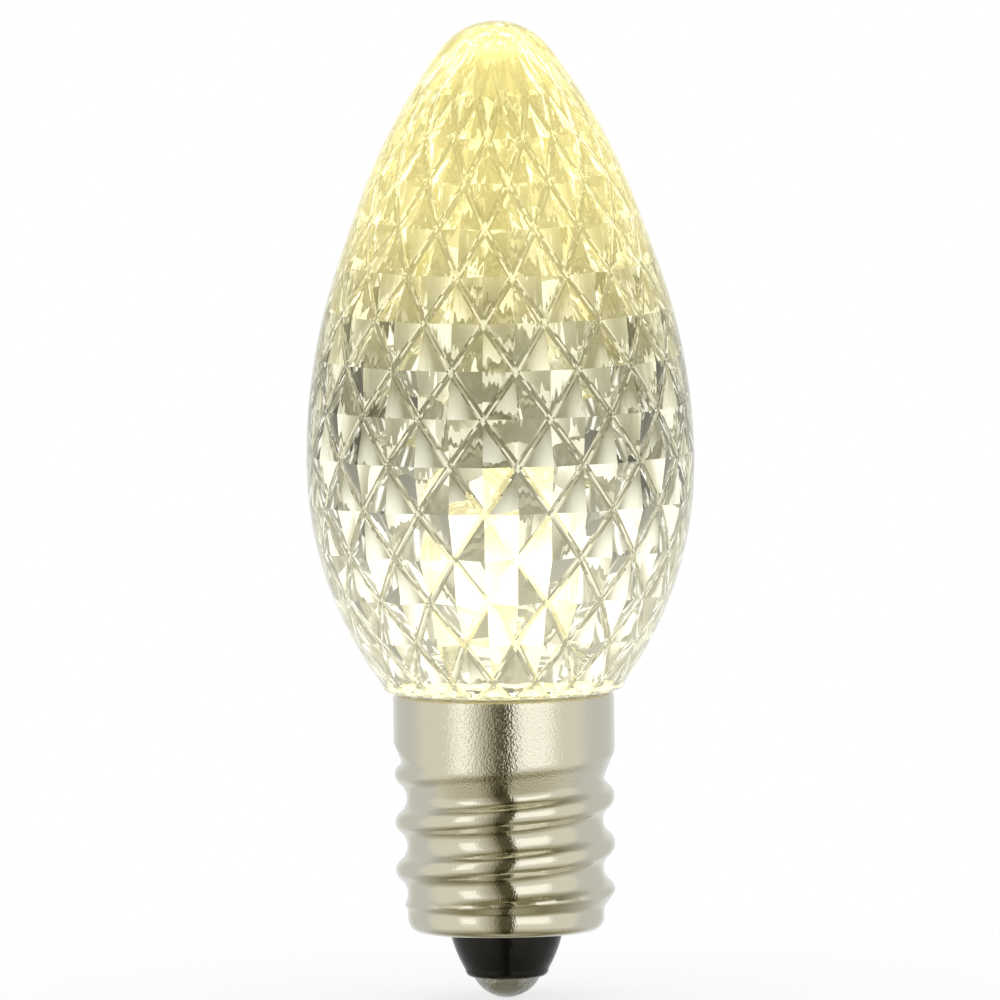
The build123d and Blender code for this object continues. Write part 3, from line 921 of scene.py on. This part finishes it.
class LAMP_OT_light_source(bpy.types.Operator):
    """Model the round lens of the light source and dress what it holds"""

    bl_idname = "lamp.light_source"
    bl_label = "Light Source"

    def execute(self, context):
        source, finish = context.scene.lamp_source, context.scene.lamp_finish
        low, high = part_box("led_lens")
        lens, flange, flange_top = source.lens_radius, source.flange_radius, low.z + source.flange_height
        points = [(0.0, low.z), (flange, low.z), (flange, flange_top), (lens, flange_top)]
        points += arc_points((0.0, high.z - lens), lens, 0.0, math.pi / 2, steps=16)
        points[-1] = (0.0, high.z)
        piece = turned_piece("round_lens", points, columns=64, sharp=40)
        core, strength, reach = source.core_height, source.lens_strength, source.lens_reach
        epoxy = lit_finish("lit_lens", finish, core, strength, reach, clearness=0.9)
        place_piece(piece, epoxy, "led_epoxy", "led_lens")
        strength, reach = source.phosphor_strength, source.phosphor_reach
        phosphor = lit_finish("lit_phosphor", finish, core, strength, reach, clearness=0.0)
        chip = grained_finish("chip", finish.chip, metallic=0.0, rough=0.3, marks=9.0, depth=0.001)
        gold = grained_finish("gold_wire", finish.gold, metallic=1.0, rough=0.25, marks=9.0, depth=0.001)
        dress_node("led_phosphor", phosphor)
        dress_node("led_chip", chip)
        dress_node("led_bond_wire", gold)
        return {"FINISHED"}


class LAMP_OT_inner_parts(bpy.types.Operator):
    """Dress the board, the leads, the solder and the parts under the board"""

    bl_idname = "lamp.inner_parts"
    bl_label = "Inner Parts"

    def execute(self, context):
        finish = context.scene.lamp_finish
        tinned = grained_finish("tinned_lead", finish.tinned, 1.0, rough=0.28, marks=4.0, depth=0.004)
        joint = grained_finish("joint_solder", finish.solder, 1.0, rough=0.3, marks=3.0, depth=0.02)
        for node in ("led_cathode_frame", "led_anode_frame", "resistor_leads", "diode_leads"):
            dress_node(node, tinned)
        for node in ("board_solder", "side_solder"):
            dress_node(node, joint)
        # Node, name of the finish, colour, roughness, marks to the millimetre, depth and painted glow.
        moulded = [
            ("circuit_board", "pale_laminate", finish.laminate, 0.5, 2.5, 0.01, 1.2),
            ("neck_cement", "cured_cement", finish.laminate, 0.45, 2.0, 0.02, 0.9),
            ("dropper_resistor", "tan_dip", finish.resistor, 0.4, 1.6, 0.02, 0.0),
            ("rectifier_diode", "diode_black", finish.diode, 0.3, 1.6, 0.01, 0.0),
        ]
        for node, name, tone, rough, marks, depth, lit in moulded:
            dress_node(node, grained_finish(name, tone, 0.0, rough, marks, depth, lit))
        return {"FINISHED"}


class LAMP_OT_studio(bpy.types.Operator):
    """Set up the floor, the light and the camera"""

    bl_idname = "lamp.studio"
    bl_label = "Studio"

    def execute(self, context):
        studio = context.scene.lamp_studio
        self.floor(studio)
        self.surround(context.scene)
        self.camera(context.scene, studio)
        return {"FINISHED"}

    def floor(self, studio):
        """Plain pale floor, white away from the lamp, which lets reflected rays through to the cards."""
        deselect_all()
        bpy.ops.mesh.primitive_circle_add(
            vertices=96, radius=studio.floor_radius, fill_type="NGON", location=(0.0, 0.0, CAD_BOX[0].z)
        )
        floor = bpy.context.object
        floor.name = "floor"
        material, tree = new_material("pale_floor")
        away = distance_from(tree, (0.0, 0.0, 0.0))
        inner, outer = 0.25 * studio.floor_radius, 0.9 * studio.floor_radius
        whiteness = map_range(tree, away, inner, outer, studio.floor_whiteness, 1.0)
        pale = add_node(tree, "ShaderNodeBsdfDiffuse", Color=(0.97, 0.97, 0.97))
        white = add_node(tree, "ShaderNodeEmission", Color=WHITE, Strength=1.0)
        share = calculate(tree, "MULTIPLY", seen_directly(tree), whiteness)
        plain = mix_surfaces(tree, share, pale, white)
        clear = tree.nodes.new("ShaderNodeBsdfTransparent")
        finish_surface(tree, mix_surfaces(tree, ray_kind(tree, "Is Glossy Ray"), plain, clear))
        floor.data.materials.append(material)

    def surround(self, scene):
        """White ground and plain light, and the studio's cards and panels for metal and glass."""
        world = bpy.data.worlds.new("studio")
        scene.world = world
        world.use_nodes = True
        tree = world.node_tree
        tree.nodes.clear()
        direction = tree.nodes.new("ShaderNodeTexCoord").outputs["Generated"]
        split = add_node(tree, "ShaderNodeSeparateXYZ", Vector=direction)
        forward = calculate(tree, "MULTIPLY", split.outputs["Y"], -1.0)
        turn = calculate(tree, "ARCTAN2", split.outputs["X"], forward)
        upward = split.outputs["Z"]
        metal, glass = self.metal_cards(tree, turn, upward), self.glass_cards(tree, turn, upward)
        reflected = mix_colours(tree, ray_kind(tree, "Is Glossy Ray"), WHITE, metal)
        seen = mix_colours(tree, ray_kind(tree, "Is Transmission Ray"), reflected, glass)
        light = add_node(tree, "ShaderNodeBackground", Color=seen, Strength=1.0)
        add_node(tree, "ShaderNodeOutputWorld", Surface=light.outputs[0])

    def round_about(self, tree, turn, stops):
        """A colour that changes round the lamp, with stops in degrees from the front."""
        stops = [(math.radians(at), tone) for at, tone in stops]
        return colour_ramp(tree, turn, -math.pi, math.pi, stops)

    def metal_cards(self, tree, turn, upward):
        """Walls of card with a dark gap in front, and two lit panels beside the gap, for the metal."""
        edge, side, back = (0.86, 0.84, 0.74), (0.7, 0.71, 0.68), (0.84, 0.86, 0.86)
        half, dark = (0.5, 0.47, 0.36), (0.1, 0.09, 0.05)
        walls = self.round_about(tree, turn, [
            (-180, back), (-160, back), (-145, side), (-110, side), (-95, edge), (-34, edge),
            (-18, half), (-7, dark), (8, dark), (11, edge),
            (88, edge), (100, side), (145, side), (160, back), (180, back),
        ])
        dim, dimmest = (0.6, 0.58, 0.48), (0.3, 0.27, 0.18)
        lift = colour_ramp(tree, upward, -1.0, 1.0, [
            (-1.0, dim), (-0.9, dimmest), (-0.75, dim), (-0.5, WHITE),
            (0.6, WHITE), (0.8, dim), (0.9, dimmest), (1.0, dimmest),
        ])
        lamp = (0.68, 0.69, 0.7)
        panels = self.round_about(tree, turn, [
            (-180, BLACK), (-58, BLACK), (-54, lamp), (-37, lamp), (-34, BLACK),
            (9, BLACK), (11, lamp), (50, lamp), (56, BLACK), (180, BLACK),
        ])
        band = colour_ramp(tree, upward, -1.0, 1.0, [
            (-1.0, BLACK), (-0.3, BLACK), (-0.13, lamp), (0.45, lamp), (0.7, BLACK), (1.0, BLACK),
        ])
        carded = mix_colours(tree, 1.0, walls, lift, kind="MULTIPLY")
        lit = mix_colours(tree, 1.0, panels, band, kind="MULTIPLY")
        return mix_colours(tree, 1.0, carded, lit, kind="ADD")

    def glass_cards(self, tree, turn, upward):
        """Olive grey walls with white panels between them, for the clear shell."""
        grey, soft, bright = (0.25, 0.24, 0.17), (0.64, 0.62, 0.5), (1.15, 1.15, 1.12)
        around = calculate(tree, "COSINE", calculate(tree, "MULTIPLY", turn, 16.0))
        upright = calculate(tree, "COSINE", calculate(tree, "MULTIPLY", upward, 9.0))
        return colour_ramp(tree, calculate(tree, "ADD", around, upright), -2.0, 2.0, [
            (-2.0, bright), (-0.8, bright), (-0.35, soft), (0.2, grey), (1.5, grey), (2.0, bright),
        ])

    def camera(self, scene, studio):
        """Long lens at the photograph's height and lean."""
        data = bpy.data.cameras.new("camera")
        camera = bpy.data.objects.new("camera", data)
        scene.collection.objects.link(camera)
        scene.camera = camera
        data.sensor_width = 36.0
        data.lens = data.sensor_width * studio.distance / studio.frame_width
        target = Vector((studio.target_side, 0.0, studio.target_height))
        back = Vector((0.0, -math.cos(studio.elevation), math.sin(studio.elevation)))
        camera.location = target + back * studio.distance
        camera.rotation_euler = (math.pi / 2 - studio.elevation, 0.0, 0.0)
        camera.rotation_euler.rotate_axis("Z", -studio.roll)
        data.clip_start = 0.01
        data.clip_end = 10.0 * studio.distance
        scene.view_settings.view_transform = "Standard"


class LAMP_PT_panel(bpy.types.Panel):
    """Lists the lamp's pieces, its studio and their settings"""

    bl_idname = "LAMP_PT_panel"
    bl_label = "Faceted String Lamp"
    bl_space_type = "VIEW_3D"
    bl_region_type = "UI"
    bl_category = "Lamp"

    def draw(self, context):
        for operator in OPERATORS:
            self.layout.operator(operator.bl_idname)
        for name, group in GROUPS.items():
            box = self.layout.box()
            for setting in group.__annotations__:
                box.prop(getattr(context.scene, name), setting)


GROUPS = {
    "lamp_shell": LampShellSettings,
    "lamp_screw": LampScrewSettings,
    "lamp_base": LampBaseSettings,
    "lamp_source": LampSourceSettings,
    "lamp_finish": LampFinishSettings,
    "lamp_studio": LampStudioSettings,
}
OPERATORS = (
    LAMP_OT_clear_shell,
    LAMP_OT_screw_shell,
    LAMP_OT_base_end,
    LAMP_OT_light_source,
    LAMP_OT_inner_parts,
    LAMP_OT_studio,
)


def register():
    """Register the classes and put the settings on the scene."""
    for group in GROUPS.values():
        bpy.utils.register_class(group)
    for operator in OPERATORS:
        bpy.utils.register_class(operator)
    bpy.utils.register_class(LAMP_PT_panel)
    for name, group in GROUPS.items():
        setattr(bpy.types.Scene, name, bpy.props.PointerProperty(type=group))


def unregister():
    """Take the settings and the classes away again."""
    for name in GROUPS:
        delattr(bpy.types.Scene, name)
    bpy.utils.unregister_class(LAMP_PT_panel)
    for operator in reversed(OPERATORS):
        bpy.utils.unregister_class(operator)
    for group in reversed(GROUPS.values()):
        bpy.utils.unregister_class(group)


def main():
    """Make every piece and the studio."""
    register()
    bpy.ops.lamp.clear_shell()
    bpy.ops.lamp.screw_shell()
    bpy.ops.lamp.base_end()
    bpy.ops.lamp.light_source()
    bpy.ops.lamp.inner_parts()
    bpy.ops.lamp.studio()


if __name__ == "__main__":
    main()
